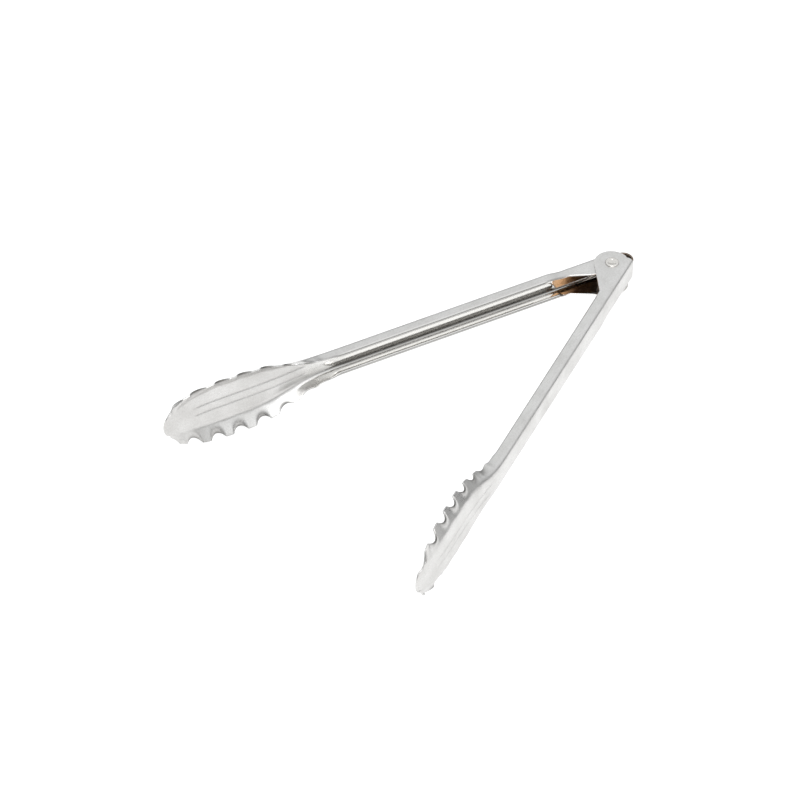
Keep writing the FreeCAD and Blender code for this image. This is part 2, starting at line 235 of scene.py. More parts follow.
def half_rows(kind):
    """Rows of one half of an arm, centre line to edge, with the stations' u."""
    ear_end = 26.5
    outline, length = ear_outline(kind)
    rows, hems, stat = [], [], []
    # ears and web behind and beside the rivet
    n_ear = 66
    for i in range(n_ear + 1):
        f = i / float(n_ear)
        u = (WEB_END_U + LIP) + (ear_end - WEB_END_U - LIP) * f
        g = length[-1] * (0.82 * f + 0.18 * f * f)
        tu = float(np.interp(g, length, outline[:, 0]))
        tv = float(np.interp(g, length, outline[:, 1]))
        hh = half_height(kind, u)
        pts = half_section(hh - 0.5, hh - 0.5, WEB_V + 0.5, EDGE_V, BEND_R - 0.5, 0.0)
        k0 = N_FLOOR + N_FILLET
        cw, cv, _ = pts[k0]
        half = []
        for k, (w, v, e) in enumerate(pts):
            if k <= k0:
                half.append((u, v, w, 0.0))
            else:
                t = (k - k0) / float(N_WALL)
                half.append((u + (tu - u) * t, cv + (tv - cv) * t, w, 0.0))
        rows.append(half)
        hems.append(0.0)
        stat.append(u)
    # the long channel
    us, u = [], ear_end + 0.8
    while u < NECK_U - 0.4:
        us.append(u)
        fine = u < ear_end + 18 or u > 168
        u += 0.8 if fine else 2.5
    for u in us:
        h = hem_weight(kind, u)
        hh = half_height(kind, u)
        edge = EDGE_V - (LIP + (HEM_R - LIP) * h)
        pts = half_section(hh - 0.5, hh - 0.5, WEB_V + 0.5, edge, BEND_R - 0.5, 0.0)
        rows.append([(u, v, w, 0.0) for (w, v, e) in pts])
        hems.append(h)
        stat.append(u)
    # the head
    end = SIDE_END - LIP
    ss = list(np.linspace(NECK_U, 262, 150)) + list(np.linspace(262, end, 72))[1:]
    for us_ in ss:
        if us_ <= FAN_U:
            uc = us_
        else:
            uc = FAN_U + (us_ - FAN_U) * (TIP_U - LIP - FAN_U) / (end - FAN_U)
        vf = table(FLOOR_U, FLOOR_V, uc)
        a = table(CORNER_U, CORNER_W, us_)
        b = table(RIM_U, RIM_W, us_)
        vr = table(RIM_V_U, RIM_V, us_)
        r = table(FILLET_U, FILLET, us_)
        h = hem_weight(kind, us_)
        pts = half_section(a, b, vf, vr, r, LIP + (HEM_R - LIP) * h)
        notch = table(NOTCH_AMP_U, NOTCH_AMP, us_) * (1.0 - lobe(us_))
        wall = math.hypot(b - a, vr - vf)
        ow, ov = (vr - vf) / wall, -(b - a) / wall        # square to the wall, outwards
        half = []
        for (w, v, e) in pts:
            k = e ** 1.3 * notch
            c = CURL * notch * max(0.0, (e - 0.42) / 0.58) ** 2
            w2 = w - SCALLOP_W * k + ow * c
            v2 = v - SCALLOP_V * k + ov * c
            frac = min(1.0, w2 / (b - SCALLOP_W * notch + 0.3))
            u2 = us_ + (uc - us_) * (1.0 - frac * frac)
            if us_ > 276.0:
                dip = ((us_ - 276.0) / (end - 276.0)) ** 2 * math.exp(-((w2 - 9.3) / 1.9) ** 2)
                u2 -= TIP_DIP * dip
                v2 -= 0.5 * dip
            g = 0.0
            if e == 0.0:
                d = (abs(w2) - GROOVE_W) / GROOVE_HALF
                if abs(d) < 1.0:
                    g = (math.cos(math.pi * d) + 1) / 2.0
                    g *= step(GROOVE_U[0] - 4, GROOVE_U[0] + 4, u2)
                    g *= 1.0 - step(GROOVE_U[1] - 4, GROOVE_U[1] + 3, u2)
            half.append((u2, v2, w2, g))
        rows.append(half)
        hems.append(h)
        stat.append(us_)
    return rows, hems, stat


def arm_rows(kind):
    """Both arms are one stamping: the nesting ear at +w, the outside ear at -w."""
    high, hem_h, stat = half_rows("high")
    nest, hem_n, _ = half_rows("nest")
    full = []
    for lo, hi in zip(high, nest):
        full.append([(p[0], p[1], -p[2], p[3]) for p in reversed(lo[1:])] + list(hi))
    return np.array(full), np.stack([hem_h, hem_n], 1), np.array(stat)


def grid_normals(P):
    n, m = P.shape[:2]
    du = np.empty_like(P)
    dw = np.empty_like(P)
    du[1:-1] = P[2:] - P[:-2]
    du[0] = P[1] - P[0]
    du[-1] = P[-1] - P[-2]
    dw[:, 1:-1] = P[:, 2:] - P[:, :-2]
    dw[:, 0] = P[:, 1] - P[:, 0]
    dw[:, -1] = P[:, -1] - P[:, -2]
    nrm = np.cross(du, dw)
    ln = np.linalg.norm(nrm, axis=2, keepdims=True)
    return nrm / np.maximum(ln, 1e-12), du, dw


N_CAP = 14


def hem_profile():
    pts = []
    for k in range(1, 9):
        th = math.pi * k / 8.0
        pts.append((HEM_R * math.sin(th), HEM_R - HEM_R * math.cos(th)))
    b = 2 * HEM_R
    pts += [(-0.45 * HEM_BACK, b), (-0.85 * HEM_BACK, b), (-0.96 * HEM_BACK, b - 0.1),
            (-HEM_BACK, b - 0.35), (-HEM_BACK - 0.02, b - 0.8), (-HEM_BACK - 0.05, 1.1)]
    return pts


def plain_profile():
    pts = []
    for k in range(1, N_CAP + 1):
        th = math.pi * k / (N_CAP + 1.0)
        s = math.sin(th)
        pts.append((LIP * s ** 0.75, 0.5 * SHEET - 0.5 * SHEET * math.cos(th)))
    return pts


def to_row(pts, kind):
    """Arm frame in mm to the frame's coordinates in metres."""
    u, v, w = pts[:, 0], pts[:, 1], pts[:, 2]
    if kind == "outer":
        out = np.stack([-C * u - S * v, -S * u + C * v, Z_MID - w], 1)
    else:
        out = np.stack([-C * u - S * v, S * u - C * v, Z_MID + w], 1)
    return out / 1000.0


def arm_mesh(kind):
    full, hems, stat = arm_rows(kind)
    P, G = full[:, :, :3], full[:, :, 3]
    N, du, dw = grid_normals(P)            # points towards the cavity
    if N[len(N) // 2, N.shape[1] // 2, 1] > 0:
        N = -N                              # now away from it, at the web
    n, m = P.shape[:2]
    h2 = SHEET / 2.0
    groove = np.zeros_like(P)
    groove[:, :, 1] = -GROOVE_DEEP * G
    outer = P + N * h2 + groove * 0.8
    inner = P - N * h2 + groove
    # the inside of the flange stops where the folded strip begins
    k_in = N_WALL
    for i in range(n):
        for side in (0, 1):
            h = hems[i, side]
            if h <= 0:
                continue
            idx_edge = m - 1 if side else 0
            idx_c = m - 1 - k_in if side else k_in
            a, b = inner[i, idx_c].copy(), inner[i, idx_edge].copy()
            ln = np.linalg.norm(b - a)
            keep = max(0.15, 1.0 - (HEM_BACK + 0.05) * h / ln)
            for k in range(1, k_in + 1):
                j = idx_c + k if side else idx_c - k
                inner[i, j] = a + (b - a) * keep * (k / float(k_in))
    hem, plain = np.array(hem_profile()), np.array(plain_profile())
    verts, uv, edge_w = [], [], []
    seam = np.zeros((n, m))
    arc = np.concatenate([np.zeros((n, 1)),
                          np.cumsum(np.linalg.norm(np.diff(P, axis=1), axis=2), axis=1)], 1)
    arc = arc - arc[:, m // 2][:, None]
    ids_o = np.arange(n * m).reshape(n, m)
    ids_i = ids_o + n * m
    pts = [outer.reshape(-1, 3), inner.reshape(-1, 3)]
    uvs = [np.stack([P[:, :, 0].ravel(), arc.ravel()], 1),
           np.stack([P[:, :, 0].ravel(), arc.ravel() + 90.0], 1)]
    near = np.zeros((n, m))
    for j in range(m):
        d = np.minimum(np.abs(arc[:, j] - arc[:, 0]), np.abs(arc[:, -1] - arc[:, j]))
        near[:, j] = np.exp(-d / 0.9)
    near[0] = 1.0
    near[-1] = 1.0
    soft = 1 - 0.8 * np.repeat(hems.min(axis=1), m)
    edge = [near.ravel() * soft, near.ravel() * soft]
    base = 2 * n * m
    cap_ids = {}
    for side in (0, 1):
        j = m - 1 if side else 0
        jb = m - 2 if side else 1
        e = P[:, j] - P[:, jb]
        e = e / np.linalg.norm(e, axis=1, keepdims=True)
        # straight out from the edge, in the plane of the sheet, square to the outline
        t = np.empty_like(e)
        t[1:-1] = P[2:, j] - P[:-2, j]
        t[0], t[-1] = P[1, j] - P[0, j], P[-1, j] - P[-2, j]
        t /= np.maximum(np.linalg.norm(t, axis=1, keepdims=True), 1e-9)
        nn = N[:, j]
        sq = np.cross(nn, t)
        sg = np.sign(np.sum(sq * e, axis=1, keepdims=True))
        sq = sq * np.where(sg == 0, 1, sg)
        hs = hems[:, side]
        hw = hs[:, None]
        out = sq * (1 - hw) + e * hw
        out /= np.linalg.norm(out, axis=1, keepdims=True)
        ids = np.empty((n, N_CAP), int)
        blk = np.empty((n, N_CAP, 3))
        for k in range(N_CAP):
            a = plain[k, 0] * (1 - hs) + hem[k, 0] * hs
            b = plain[k, 1] * (1 - hs) + hem[k, 1] * hs
            blk[:, k] = outer[:, j] + out * a[:, None] - nn * b[:, None]
        ids = base + np.arange(n * N_CAP).reshape(n, N_CAP)
        base += n * N_CAP
        cap_ids[side] = ids
        pts.append(blk.reshape(-1, 3))
        sgn = 1 if side else -1
        uvs.append(np.stack([np.repeat(P[:, j, 0], N_CAP),
                             np.repeat(arc[:, j], N_CAP) + sgn * np.tile(np.arange(1, N_CAP + 1) * 0.2, n)], 1))
        edge.append(np.repeat(1.0 - 0.8 * hs, N_CAP))
    faces = []

    def quads(a, flip=False):
        for i in range(a.shape[0] - 1):
            for j in range(a.shape[1] - 1):
                q = [a[i, j], a[i + 1, j], a[i + 1, j + 1], a[i, j + 1]]
                faces.append(q[::-1] if flip else q)

    # one ring of columns all the way round the section, outer, cap, inner, cap
    ring = np.concatenate([ids_o, cap_ids[1], ids_i[:, ::-1], cap_ids[0][:, ::-1], ids_o[:, :1]], 1)
    quads(ring)
    # close the two ends with a rounded strip between the outer and the inner row
    for end in (0, n - 1):
        nb = 1 if end == 0 else n - 2
        t = P[end] - P[nb]
        t /= np.linalg.norm(t, axis=1, keepdims=True)
        d = np.empty_like(t)
        d[1:-1] = P[end, 2:] - P[end, :-2]
        d[0], d[-1] = P[end, 1] - P[end, 0], P[end, -1] - P[end, -2]
        d /= np.linalg.norm(d, axis=1, keepdims=True)
        sq = np.cross(N[end], d)
        sg = np.sign(np.sum(sq * t, axis=1, keepdims=True))
        sq = sq * np.where(sg == 0, 1, sg)
        rows_k = []
        for k in range(N_CAP):
            row = outer[end] + sq * plain[k, 0] - N[end] * plain[k, 1]
            rows_k.append(row)
        strip = np.empty((N_CAP, m), int)
        strip[:, 0] = cap_ids[0][end]
        strip[:, -1] = cap_ids[1][end]
        inner_pts = np.array([r[1:-1] for r in rows_k])
        strip[:, 1:-1] = base + np.arange(N_CAP * (m - 2)).reshape(N_CAP, m - 2)
        base += N_CAP * (m - 2)
        pts.append(inner_pts.reshape(-1, 3))
        uvs.append(np.stack([np.tile(P[end, 1:-1, 0], N_CAP) + np.repeat(np.arange(N_CAP) * 0.1, m - 2),
                             np.tile(arc[end, 1:-1], N_CAP)], 1))
        edge.append(np.ones(N_CAP * (m - 2)))
        wall = np.concatenate([ids_o[end][None, :], strip, ids_i[end][None, :]], 0)
        quads(wall, flip=(end != 0))
    allp = np.concatenate(pts, 0)
    alluv = np.concatenate(uvs, 0)
    alle = np.concatenate(edge, 0)
    return allp, faces, alluv, alle


def make_object(name, pts_m, faces, uv=None, edge=None, smooth=True, sharp=None):
    me = bpy.data.meshes.new(name)
    me.from_pydata([tuple(p) for p in pts_m], [], [tuple(int(i) for i in f) for f in faces])
    me.validate()
    me.update()
    import bmesh
    bm = bmesh.new()
    bm.from_mesh(me)
    bmesh.ops.recalc_face_normals(bm, faces=bm.faces)
    bm.to_mesh(me)
    bm.free()
    if uv is not None:
        lay = me.uv_layers.new(name="along")
        vi = np.empty(len(me.loops), dtype=np.int32)
        me.loops.foreach_get("vertex_index", vi)
        data = np.asarray(uv, dtype=np.float32)[vi] / 1000.0
        lay.data.foreach_set("uv", data.ravel())
    if edge is not None:
        at = me.attributes.new("edge", "FLOAT", "POINT")
        at.data.foreach_set("value", np.asarray(edge, dtype=np.float32))
    if smooth:
        me.polygons.foreach_set("use_smooth", [True] * len(me.polygons))
        if sharp is not None:
            me.set_sharp_from_angle(angle=math.radians(sharp))
    ob = bpy.data.objects.new(name, me)
    bpy.context.scene.collection.objects.link(ob)
    return ob


def cut_round_hole(ob, radius_mm):
    """Drill the rivet hole along Z through both ears."""
    n = 72
    pts, faces = [], []
    for z in (-5.0, 2 * Z_MID + 5.0):
        for k in range(n):
            a = 2 * math.pi * k / n
            pts.append((radius_mm * math.cos(a) / 1000, radius_mm * math.sin(a) / 1000, z / 1000))
    for k in range(n):
        k2 = (k + 1) % n
        faces.append((k, k2, n + k2, n + k))
    faces.append(tuple(range(n))[::-1])
    faces.append(tuple(range(n, 2 * n)))
    drill = make_object("drill", pts, faces, smooth=False)
    mod = ob.modifiers.new("hole", "BOOLEAN")
    mod.operation = "DIFFERENCE"
    mod.solver = "EXACT"
    mod.object = drill
    bpy.context.view_layer.update()
    dg = bpy.context.evaluated_depsgraph_get()
    new = bpy.data.meshes.new_from_object(ob.evaluated_get(dg), preserve_all_data_layers=True, depsgraph=dg)
    ob.modifiers.remove(mod)
    old = ob.data
    ob.data = new
    new.name = old.name + "_cut"
    bpy.data.meshes.remove(old)
    dm = drill.data
    bpy.data.objects.remove(drill)
    bpy.data.meshes.remove(dm)
    ob.data.polygons.foreach_set("use_smooth", [True] * len(ob.data.polygons))
    ob.data.set_sharp_from_angle(angle=math.radians(38))


# ---------------------------------------------------------------------------
# materials
# ---------------------------------------------------------------------------
class Nodes:
    def __init__(self, name):
        self.mat = bpy.data.materials.new(name)
        self.mat.use_nodes = True
        self.nt = self.mat.node_tree
        self.nt.nodes.clear()
        self.out = self.nt.nodes.new("ShaderNodeOutputMaterial")
        self.bsdf = self.nt.nodes.new("ShaderNodeBsdfPrincipled")
        self.nt.links.new(self.bsdf.outputs[0], self.out.inputs[0])

    def add(self, kind, **props):
        nd = self.nt.nodes.new(kind)
        for k, v in props.items():
            setattr(nd, k, v)
        return nd

    def link(self, a, b):
        self.nt.links.new(a, b)

    def math(self, op, a, b=None, clamp=False):
        nd = self.add("ShaderNodeMath", operation=op, use_clamp=clamp)
        for i, x in enumerate((a, b)):
            if x is None:
                continue
            if isinstance(x, (int, float)):
                nd.inputs[i].default_value = x
            else:
                self.link(x, nd.inputs[i])
        return nd.outputs[0]

    def noise(self, vec, scale, detail=2.0, rough=0.5, lac=2.0):
        nd = self.add("ShaderNodeTexNoise")
        nd.inputs["Scale"].default_value = scale
        nd.inputs["Detail"].default_value = detail
        nd.inputs["Roughness"].default_value = rough
        nd.inputs["Lacunarity"].default_value = lac
        self.link(vec, nd.inputs["Vector"])
        return nd.outputs[0]

    def ramp(self, fac, stops):
        nd = self.add("ShaderNodeValToRGB")
        els = nd.color_ramp.elements
        while len(els) < len(stops):
            els.new(0.5)
        for el, (pos, col) in zip(els, stops):
            el.position = pos
            el.color = (col, col, col, 1) if isinstance(col, (int, float)) else tuple(col) + (1,)
        self.link(fac, nd.inputs[0])
        return nd.outputs[0]

    def remap(self, val, lo, hi, a, b, smooth=False):
        nd = self.add("ShaderNodeMapRange")
        if smooth:
            nd.interpolation_type = "SMOOTHSTEP"
        self.link(val, nd.inputs["Value"])
        nd.inputs["From Min"].default_value = lo
        nd.inputs["From Max"].default_value = hi
        nd.inputs["To Min"].default_value = a
        nd.inputs["To Max"].default_value = b
        return nd.outputs[0]

    def scaled(self, vec, sx, sy, sz):
        nd = self.add("ShaderNodeMapping")
        nd.inputs["Scale"].default_value = (sx, sy, sz)
        self.link(vec, nd.inputs["Vector"])
        return nd.outputs[0]


def steel(name, tint=(0.80, 0.775, 0.735), dark=(0.66, 0.63, 0.585), rough=0.2, use_uv=True,
          brush=0.1, grain=1.0, polished=False):
    m = Nodes(name)
    tc = m.add("ShaderNodeTexCoord")
    if use_uv:
        uvn = m.add("ShaderNodeUVMap", uv_map="along")
        vec = uvn.outputs[0]
        along = m.scaled(vec, 22.0, 2600.0, 1.0)      # long hair lines down the arm
        along2 = m.scaled(vec, 60.0, 9000.0, 1.0)
    else:
        vec = tc.outputs["Object"]
        along = m.scaled(vec, 900.0, 900.0, 2600.0)
        along2 = m.scaled(vec, 3000.0, 3000.0, 9000.0)
    obj = tc.outputs["Object"]
    hair = m.noise(along, 1.0, 3.0, 0.6)
    hair2 = m.noise(along2, 1.0, 2.0, 0.6)
    cloud = m.noise(obj, 55.0, 4.0, 0.55)               # handling marks, tens of mm across
    speck = m.noise(obj, 1400.0, 2.0, 0.5)              # the rolled sheet's own fine grain
    # cross scratches streaked along one direction
    sc1 = m.noise(m.scaled(obj, 240.0, 5200.0, 3200.0), 1.0, 1.0, 0.4)
    scr = m.remap(sc1, 0.66, 0.74, 0.0, 1.0)
    # colour: a warm grey metal with slightly darker, browner handling marks
    mixf = m.math("ADD", m.remap(cloud, 0.35, 0.75, 0.0, 0.5), m.remap(hair, 0.3, 0.8, 0.0, 0.3))
    mixf = m.math("ADD", mixf, m.remap(speck, 0.4, 0.62, 0.0, 0.4), clamp=True)
    mix = m.add("ShaderNodeMix", data_type="RGBA")
    m.link(mixf, mix.inputs[0])
    mix.inputs[6].default_value = tuple(tint) + (1,)
    mix.inputs[7].default_value = tuple(dark) + (1,)
    colour = mix.outputs[2]
    if polished:
        pol = m.add("ShaderNodeAttribute", attribute_name="polish").outputs["Fac"]
        mix2 = m.add("ShaderNodeMix", data_type="RGBA")
        m.link(m.math("MULTIPLY", pol, 0.9), mix2.inputs[0])
        m.link(colour, mix2.inputs[6])
        mix2.inputs[7].default_value = (0.88, 0.87, 0.85, 1)
        # painted shade: the 'dark' attribute mixes the colour towards near black in the folds, rims and notch arches
        painted_shade_mix = m.add("ShaderNodeMix", data_type="RGBA")
        m.link(m.add("ShaderNodeAttribute", attribute_name="dark").outputs["Fac"], painted_shade_mix.inputs[0])
        m.link(mix2.outputs[2], painted_shade_mix.inputs[6])
        painted_shade_mix.inputs[7].default_value = (0.055, 0.05, 0.043, 1)
        colour = painted_shade_mix.outputs[2]
    m.link(colour, m.bsdf.inputs["Base Color"])
    m.bsdf.inputs["Metallic"].default_value = 1.0
    # roughness: hair lines, clouds, scratches, worn edges are smoother
    r = m.math("ADD", m.remap(cloud, 0.3, 0.7, rough - 0.05, rough + 0.07),
               m.remap(hair, 0.25, 0.75, -brush * 0.5, brush * 0.5))
    r = m.math("ADD", r, m.math("MULTIPLY", scr, 0.10))
    if use_uv:
        ed = m.add("ShaderNodeAttribute", attribute_name="edge")
        r = m.math("SUBTRACT", r, m.math("MULTIPLY", ed.outputs["Fac"], 0.05))
    if polished:
        r = m.math("SUBTRACT", r, m.math("MULTIPLY", pol, rough - 0.06))
    r = m.math("MAXIMUM", r, 0.06)
    m.link(r, m.bsdf.inputs["Roughness"])
    # bump: hair lines, grain and scratches
    hgt = m.math("ADD", m.math("MULTIPLY", hair, 0.5), m.math("MULTIPLY", hair2, 0.3))
    hgt = m.math("ADD", hgt, m.math("MULTIPLY", speck, 0.25 * grain))
    hgt = m.math("SUBTRACT", hgt, m.math("MULTIPLY", scr, 0.35))
    b = m.add("ShaderNodeBump")
    b.inputs["Strength"].default_value = 0.4
    b.inputs["Distance"].default_value = 0.00006
    m.link(hgt, b.inputs["Height"])
    m.link(b.outputs[0], m.bsdf.inputs["Normal"])
    return m.mat


def spring_steel(name):
    m = Nodes(name)
    tc = m.add("ShaderNodeTexCoord")
    obj = tc.outputs["Object"]
    cloud = m.noise(obj, 160.0, 4.0, 0.6)
    fine = m.noise(m.scaled(obj, 500.0, 500.0, 5200.0), 1.0, 3.0, 0.6)
    col = m.ramp(m.math("ADD", m.math("MULTIPLY", cloud, 0.8), m.math("MULTIPLY", fine, 0.2)),
                 [(0.3, (0.55, 0.38, 0.25)), (0.5, (0.70, 0.52, 0.37)), (0.7, (0.78, 0.62, 0.47))])
    # colour by place along the leaf: straw at the free ends, dark brown near the joint, grey round the bend
    sepx = m.add("ShaderNodeSeparateXYZ")
    m.link(obj, sepx.inputs[0])
    leaf_tone = m.ramp(m.remap(m.math("ADD", sepx.outputs[0], m.math("MULTIPLY", cloud, 0.004)), -0.034, 0.018, 0.0, 1.0),
                  [(0.0, (1.0, 0.93, 0.82)), (0.22, (0.85, 0.66, 0.47)), (0.42, (0.30, 0.2, 0.13)),
                   (0.62, (0.11, 0.085, 0.07)), (0.86, (0.2, 0.2, 0.22)), (1.0, (0.35, 0.37, 0.42))])
    mul = m.add("ShaderNodeMix", data_type="RGBA", blend_type="MULTIPLY")
    mul.inputs[0].default_value = 1.0
    m.link(col, mul.inputs[6])
    m.link(leaf_tone, mul.inputs[7])
    m.link(mul.outputs[2], m.bsdf.inputs["Base Color"])
    m.bsdf.inputs["Metallic"].default_value = 1.0
    m.link(m.remap(m.math("ADD", cloud, m.math("MULTIPLY", fine, 0.4)), 0.4, 1.0, 0.2, 0.42),
           m.bsdf.inputs["Roughness"])
    b = m.add("ShaderNodeBump")
    b.inputs["Strength"].default_value = 0.25
    b.inputs["Distance"].default_value = 0.00008
    m.link(m.math("ADD", fine, m.math("MULTIPLY", cloud, 0.6)), b.inputs["Height"])
    m.link(b.outputs[0], m.bsdf.inputs["Normal"])
    return m.mat


MAT_ARM = steel("polished_sheet", tint=(0.69, 0.683, 0.672), dark=(0.53, 0.52, 0.505), rough=0.32, polished=True)
MAT_RIVET = steel("rivet_steel", tint=(0.74, 0.72, 0.69), dark=(0.55, 0.53, 0.5), rough=0.24, use_uv=False)
MAT_SLEEVE = steel("sleeve_steel", tint=(0.66, 0.63, 0.59), dark=(0.5, 0.47, 0.43), rough=0.28, use_uv=False)
MAT_LEAF = spring_steel("tempered_spring")

# ---------------------------------------------------------------------------
# the arms
# ---------------------------------------------------------------------------
for kind in ("outer", "inner"):
    pts, faces, uv, edge = arm_mesh(kind)
    ob = make_object("%s_arm_sheet" % kind, to_row(pts, kind), faces, uv, edge, sharp=38)
    # the inside of the channel is bright, the outside and the heads are satin
    at = ob.data.attributes.new("polish", "FLOAT", "POINT")
    row_pts = to_row(pts, kind)
    vn = np.empty(len(ob.data.vertices) * 3)
    ob.data.vertices.foreach_get("normal", vn)
    vn = vn.reshape(-1, 3)
    if len(vn) == len(pts):
        sy = 1.0 if kind == "outer" else -1.0
        nv = -S * vn[:, 0] + sy * C * vn[:, 1]
        nw = -sy * vn[:, 2]
        inside = np.clip(np.maximum(nv, -np.sign(pts[:, 2]) * nw) * 3.0 - 0.6, 0.0, 1.0)
        far = np.clip((pts[:, 0] - 170.0) / 36.0, 0.0, 1.0)
        at.data.foreach_set("value", inside * (1.0 - far))
        # painted shade: darker metal in the folds, round the rims and in the arches of the notches, where shade falls
        uu, vv, ww = pts[:, 0], pts[:, 1], np.abs(pts[:, 2])
        d = np.hypot((vv - (WEB_V + 1.0)) / 1.3, (ww - (HALF_H - 1.0)) / 2.9)
        painted_fold_shade = np.exp(-d ** 2) * inside * (1.0 - far) * np.clip((uu - 14.0) / 14.0, 0.0, 1.0)
        # painted shade: a dark line along the rims of the flanges
        rim = np.clip((vv - (EDGE_V - 0.9)) / 0.5, 0.0, 1.0)
        rim *= np.clip((uu - 27.0) / 4.0, 0.0, 1.0) * np.clip((192.0 - uu) / 10.0, 0.0, 1.0)
        # painted shade in the arches of the notches round the head
        dip = np.array([table(NOTCH_AMP_U, NOTCH_AMP, x) * (1.0 - lobe(x)) if NECK_U < x < SIDE_END else 0.0 for x in uu])
        painted_arch_shade = dip * np.clip((ww - 6.0) / 4.0, 0.0, 1.0) * np.clip(np.array(edge)[:len(uu)], 0.0, 1.0) ** 0.6
        # the 'dark' attribute carries this painted shade into the arm's material
        painted_shade_attr = ob.data.attributes.new("dark", "FLOAT", "POINT")
        painted_shade_attr.data.foreach_set("value", np.clip(0.9 * painted_fold_shade + 0.5 * rim + 0.86 * painted_arch_shade, 0.0, 0.93))
    cut_round_hole(ob, RIVET_R + (RIVET_RUN if kind == "inner" else 0.0))
    ob.data.materials.clear()
    ob.data.materials.append(MAT_ARM)
    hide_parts("%s_arm" % kind)
    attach(ob, "%s_arm" % kind)


# ---------------------------------------------------------------------------
# rivet, sleeve, leaf spring
# ---------------------------------------------------------------------------
def lathe(name, profile, n=96, marks=None):
    """Turn an (r, z) profile in mm about the rivet's axis."""
    pts, rings = [], []
    for (r, z) in profile:
        if r <= 1e-6:
            rings.append([len(pts)])
            pts.append([0.0, 0.0, z])
        else:
            ring = []
            for k in range(n):
                a = 2 * math.pi * k / n
                ring.append(len(pts))
                pts.append([r * math.cos(a), r * math.sin(a), z])
            rings.append(ring)
    faces = []
    for a, b in zip(rings[:-1], rings[1:]):
        if len(a) == 1 and len(b) == 1:
            continue
        for k in range(n):
            k2 = (k + 1) % n
            if len(a) == 1:
                faces.append((a[0], b[k2], b[k]))
            elif len(b) == 1:
                faces.append((a[k], a[k2], b[0]))
            else:
                faces.append((a[k], a[k2], b[k2], b[k]))
    pts = np.array(pts)
    if marks:
        pts = marks(pts)
    return make_object(name, pts / 1000.0, faces, sharp=40)


def densify(profile, d):
    out = [profile[0]]
    for p, q in zip(profile[:-1], profile[1:]):
        n = max(1, int(math.ceil(math.hypot(q[0] - p[0], q[1] - p[1]) / d)))
        for k in range(1, n + 1):
            out.append((p[0] + (q[0] - p[0]) * k / n, p[1] + (q[1] - p[1]) * k / n))
    return out


TOP = Z_MID + HALF_H
dome = []
for k in range(0, 9):
    a = 0.5 * math.pi * k / 8.0
    dome.append((RIVET_CAP_R - 0.75 + 0.75 * math.cos(a), TOP + 0.08 + (RIVET_CAP_T - 0.08) * math.sin(a)))
prof = [(0, 0), (3.9, 0), (4.25, 0.04), (4.5, 0.16), (4.6, 0.36), (4.6, 0.85), (4.55, 0.98), (RIVET_R, 1.0),
        (RIVET_R, TOP), (RIVET_CAP_R - 0.05, TOP)] + dome
dish = [(3.0, TOP + RIVET_CAP_T), (2.6, TOP + 0.78), (2.2, TOP + 0.7), (1.8, TOP + 0.52), (1.4, TOP + 0.38),
        (0.9, TOP + 0.30), (0.0, TOP + 0.27)]
prof = densify(prof, 0.8)[:-1] + densify([dome[-1]] + dish, 0.16)


def set_marks(p):
    """Three shallow marks that the setting punch left in the dished head."""
    q = p.copy()
    r = np.hypot(p[:, 0], p[:, 1])
    top = p[:, 2] > TOP + 0.2
    for a in (0.0, 2.094, 4.189):
        cx, cy = 1.9 * math.cos(a + 0.6), 1.9 * math.sin(a + 0.6)
        d = np.hypot(p[:, 0] - cx, p[:, 1] - cy)
        q[:, 2] -= np.where(top & (d < 1.0), 0.28 * (np.cos(np.pi * np.minimum(d, 1.0)) + 1) / 2, 0)
    return q


rivet = lathe("rivet", prof, 96, set_marks)
rivet.data.materials.append(MAT_RIVET)
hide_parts("hinge_rivet")
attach(rivet, "outer_arm")

zs = SLEEVE_HALF
sl = [(RIVET_R + 0.02, Z_MID - zs + 0.25), (RIVET_R + 0.25, Z_MID - zs), (SLEEVE_R - 0.3, Z_MID - zs),
      (SLEEVE_R - 0.08, Z_MID - zs + 0.08), (SLEEVE_R, Z_MID - zs + 0.3)]
for k in range(1, 12):
    z = Z_MID - zs + 0.3 + (2 * zs - 0.6) * k / 12.0
    sl.append((SLEEVE_R, z))
sl += [(SLEEVE_R, Z_MID + zs - 0.3), (SLEEVE_R - 0.08, Z_MID + zs - 0.08), (SLEEVE_R - 0.3, Z_MID + zs),
       (RIVET_R + 0.25, Z_MID + zs), (RIVET_R + 0.02, Z_MID + zs - 0.25), (RIVET_R + 0.02, Z_MID - zs + 0.25)]


def tube(name, profile, n=96):
    pts, faces = [], []
    m = len(profile) - 1
    for (r, z) in profile[:-1]:
        for k in range(n):
            a = 2 * math.pi * k / n
            # the strip is rolled to a tube: a narrow butt seam shows down one side
            da = abs((a - 4.2 + math.pi) % (2 * math.pi) - math.pi)
            rr = r - (0.18 * math.exp(-(da / 0.04) ** 2) if r > RIVET_R + 0.5 else 0.0)
            pts.append((rr * math.cos(a) / 1000, rr * math.sin(a) / 1000, z / 1000))
    for i in range(m):
        i2 = (i + 1) % m
        for k in range(n):
            k2 = (k + 1) % n
            faces.append((i * n + k, i * n + k2, i2 * n + k2, i2 * n + k))
    return make_object(name, pts, faces, sharp=40)


sleeve = tube("sleeve", sl)
sleeve.data.materials.append(MAT_SLEEVE)
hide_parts("spacer_sleeve")
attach(sleeve, "outer_arm")


